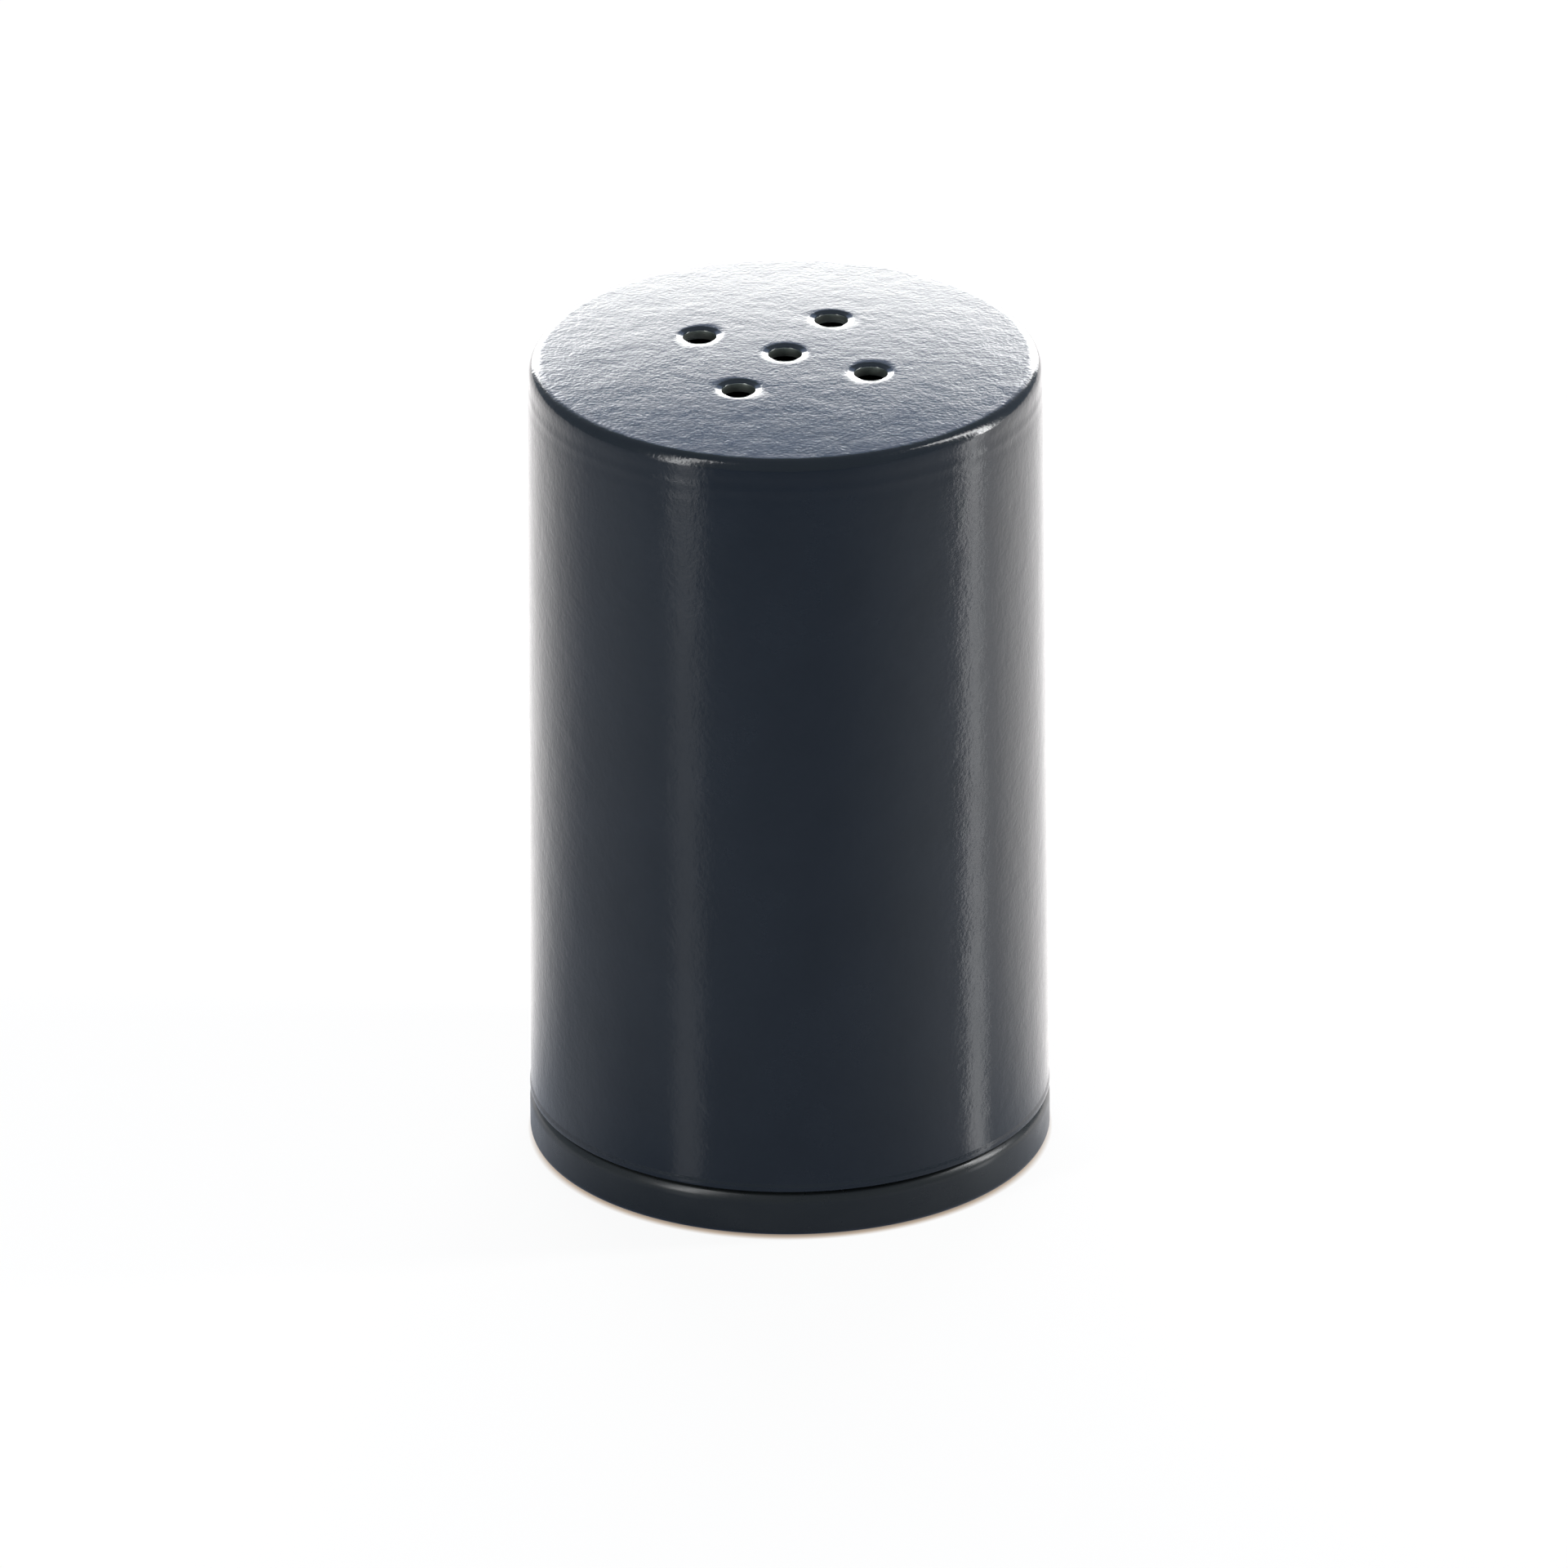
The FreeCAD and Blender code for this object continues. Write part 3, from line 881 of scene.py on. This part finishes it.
world = bpy.data.worlds.new("studio")
bpy.context.scene.world = world
sky_tree, sky_surface = bare_tree(world, "ShaderNodeOutputWorld")
seen_directly = sky_tree.nodes.new("ShaderNodeLightPath").outputs["Is Camera Ray"]
both_skies = between(sky_tree, seen_directly, even_sky(sky_tree, AMBIENT), even_sky(sky_tree, WHITE))
sky_tree.links.new(both_skies, sky_surface)
print("world:", world.name)

# %% [markdown]
# ## Lamps
#
# A softbox behind the shaker, with a brighter low part and two wings beside it, lights the crowned
# top and the wall's two edges at a glancing angle. Its upper edge is where the top's reflection
# turns from white to dark, and its low part is what the fronts of the pour holes' dishes mirror. A
# dim blue panel above it keeps the near part of the top from going black. Two upright strips draw
# the streaks on the wall's upper half.

# %% Softbox, wings and strips
BOX_DISTANCE = 0.75
BOX_FOOT = -3.5
BOX_MIDDLE = 6.5
BOX_TOP = 23.3
BOX_SIDE = 6.0
WING_TOP = 25.0
WING_SIDE = 28.0
SKY_TOP = 36.0
SKY_COLOUR = (0.62, 0.86, 1.4)


def panel(name, place, aim, width, height, radiance, colour=WHITE):
    """A rectangular lamp in metres, aimed at a point. Its power is radiance times area times pi."""
    light = bpy.data.lights.new(name, "AREA")
    light.shape = "RECTANGLE"
    light.size, light.size_y = width, height
    light.energy = radiance * width * height * math.pi
    light.color = colour
    lamp = bpy.data.objects.new(name, light)
    bpy.context.scene.collection.objects.link(lamp)
    away = np.array(place) - np.array(aim)
    away = away / np.linalg.norm(away)
    side = np.cross([0, 0, 1], away)
    side = side / np.linalg.norm(side)
    turn = np.column_stack([side, np.cross(away, side), away])
    lamp.matrix_world = Matrix(turn.tolist()).to_4x4()
    lamp.location = place
    lamp.visible_camera = False
    print(f"{name}: {width:.3f} x {height:.3f} m, radiance {radiance:g}")


def offset(angle):
    """How far from the middle line an angle in degrees falls at the softbox's distance."""
    return BOX_DISTANCE * math.tan(math.radians(angle))


def back_panel(name, elevations, azimuths, radiance, colour=WHITE):
    """A panel behind the shaker, between two angles of elevation seen from the shaker's top and
    between two angles to the side, seen from its axis."""
    low, high = (SHELL_TOP * MM + offset(angle) for angle in elevations)
    left, right = (offset(angle) for angle in azimuths)
    across, up = (left + right) / 2, (low + high) / 2
    place, aim = (across, BOX_DISTANCE, up), (across, 0, up)
    panel(name, place, aim, right - left, high - low, radiance, colour)


back_panel("low_softbox", (BOX_FOOT, BOX_MIDDLE), (-BOX_SIDE, BOX_SIDE), radiance=26.0)
back_panel("back_softbox", (BOX_MIDDLE, BOX_TOP), (-BOX_SIDE, BOX_SIDE), radiance=5.95)
back_panel("sky_panel", (BOX_TOP, SKY_TOP), (-WING_SIDE, WING_SIDE),
           radiance=0.62, colour=SKY_COLOUR)
back_panel("left_wing", (BOX_FOOT, WING_TOP), (-WING_SIDE, -BOX_SIDE), radiance=13.0)
back_panel("right_wing", (BOX_FOOT, WING_TOP), (BOX_SIDE, WING_SIDE), radiance=13.0)

# %% Upright strips
STRIP_DISTANCE = 0.17
STRIP_FOOT = 0.038
STRIP_HEAD = 0.30
RIGHT_STREAK = 92.0
LEFT_STREAK = -46.0


def upright_strip(name, azimuth, width, radiance):
    """A strip lamp in front of the shaker. The azimuth in degrees runs from the front to the
    right, and the wall mirrors the strip at half that angle."""
    turn = math.radians(azimuth)
    height = (STRIP_FOOT + STRIP_HEAD) / 2
    place = (STRIP_DISTANCE * math.sin(turn), -STRIP_DISTANCE * math.cos(turn), height)
    panel(name, place, (0, 0, height), width, STRIP_HEAD - STRIP_FOOT, radiance)


upright_strip("right_strip", RIGHT_STREAK, width=0.022, radiance=20.0)
upright_strip("left_strip", LEFT_STREAK, width=0.026, radiance=9.0)

# %% [markdown]
# ## Light paths on the sweep
#
# The camera looks down, so the lower wall mirrors the sweep and not the strips, and the streaks
# would end halfway. On a real sweep a strip also lights the paper below it. Here a narrow glowing
# wedge just above the sweep stands for that patch, as painted light. Only gloss sees it, and it
# grows brighter away from the shaker.

# %% Wedges for the lower half of the streaks
PATH_START = 0.008
PATH_END = 0.28
PATH_LIFT = 0.0002
GROWTH_START = 0.13
GROWTH_END = 0.22


def wedge_corners(azimuth, opening_angle):
    """The wedge starts near the wall point that mirrors it, which lies at half the azimuth, and runs
    away along the azimuth. Half its width is the opening angle times the distance from the wall's
    focal point, which lies radius * cos(half the azimuth) / 2 behind that point."""
    half, full = math.radians(azimuth / 2), math.radians(azimuth)
    radius = BODY_RADIUS * MM
    start = np.array([math.sin(half), -math.cos(half)]) * radius
    along = np.array([math.sin(full), -math.cos(full)])
    across = np.array([-along[1], along[0]])
    corners = []
    for distance, side in ((PATH_START, -1), (PATH_END, -1), (PATH_END, 1), (PATH_START, 1)):
        reach = math.radians(opening_angle) * (radius * math.cos(half) / 2 + distance)
        corners.append((*(start + distance * along + side * reach * across), PATH_LIFT))
    return corners


def gloss_only(name, near, far):
    """Clear for every look but gloss, which sees a glow of painted light that grows from near to far
    strength.
    """
    material = bpy.data.materials.new(name)
    tree, surface = bare_tree(material, "ShaderNodeOutputMaterial")
    clear = tree.nodes.new("ShaderNodeBsdfTransparent").outputs[0]
    glow = tree.nodes.new("ShaderNodeEmission")
    growth = tree.nodes.new("ShaderNodeMapRange")
    growth.interpolation_type = "SMOOTHSTEP"
    growth.inputs["From Min"].default_value = GROWTH_START
    growth.inputs["From Max"].default_value = GROWTH_END
    growth.inputs["To Min"].default_value = near
    growth.inputs["To Max"].default_value = far
    tree.links.new(from_middle(tree, "LENGTH").outputs["Value"], growth.inputs["Value"])
    tree.links.new(growth.outputs["Result"], glow.inputs["Strength"])
    glossy = tree.nodes.new("ShaderNodeLightPath").outputs["Is Glossy Ray"]
    bright = added(tree, glow.outputs[0], clear)
    tree.links.new(between(tree, glossy, clear, bright), surface)
    return material


def light_path(name, azimuth, opening_angle, near, far):
    """A wedge that lights nothing and throws no shadow, and shows in gloss alone."""
    wedge = stage_sheet(name, wedge_corners(azimuth, opening_angle), gloss_only(name, near, far))
    wedge.visible_camera = False
    wedge.visible_diffuse = False
    wedge.visible_shadow = False
    print(f"{name}: {PATH_END - PATH_START:.3f} m long")


# Painted light: a glowing wedge for the lit paper below each strip.
light_path("right_light_path", RIGHT_STREAK, opening_angle=5.5, near=1.9, far=3.5)
light_path("left_light_path", LEFT_STREAK, opening_angle=6.5, near=0.42, far=1.3)

# %% [markdown]
# ## Camera
#
# The photograph was taken with a long lens from about 1.7 metres away, looking down by 25 degrees,
# and the camera leaned by less than half a degree. These values come from fitting circles of the
# shaker's own sizes to the edges in the photograph.

# %% Camera
CAMERA_BACK = 1.5425
CAMERA_UP = 0.7471
CAMERA_DOWN = math.radians(24.966)
CAMERA_LEAN = math.radians(-0.389)
CAMERA_TURN = math.radians(0.0111)
SENSOR_WIDTH = 36.0
FOCAL_PIXELS = 27246
PHOTO_PIXELS = 1920
CLIP_START = 0.1
CLIP_END = 20.0

camera_data = bpy.data.cameras.new("camera")
camera_data.sensor_width = SENSOR_WIDTH
camera_data.lens = FOCAL_PIXELS / PHOTO_PIXELS * SENSOR_WIDTH
camera_data.clip_start = CLIP_START
camera_data.clip_end = CLIP_END
camera = bpy.data.objects.new("camera", camera_data)
bpy.context.scene.collection.objects.link(camera)
pitch = Matrix.Rotation(math.pi / 2 - CAMERA_DOWN, 4, "X")
lean = Matrix.Rotation(CAMERA_LEAN, 4, "Z")
turned_left = Matrix.Rotation(CAMERA_TURN, 4, "Z")
standpoint = Matrix.Translation((0, -CAMERA_BACK, CAMERA_UP))
camera.matrix_world = standpoint @ turned_left @ pitch @ lean
bpy.context.scene.camera = camera
bpy.context.scene.view_settings.view_transform = "Standard"
print(f"lens {camera_data.lens:.0f} mm")
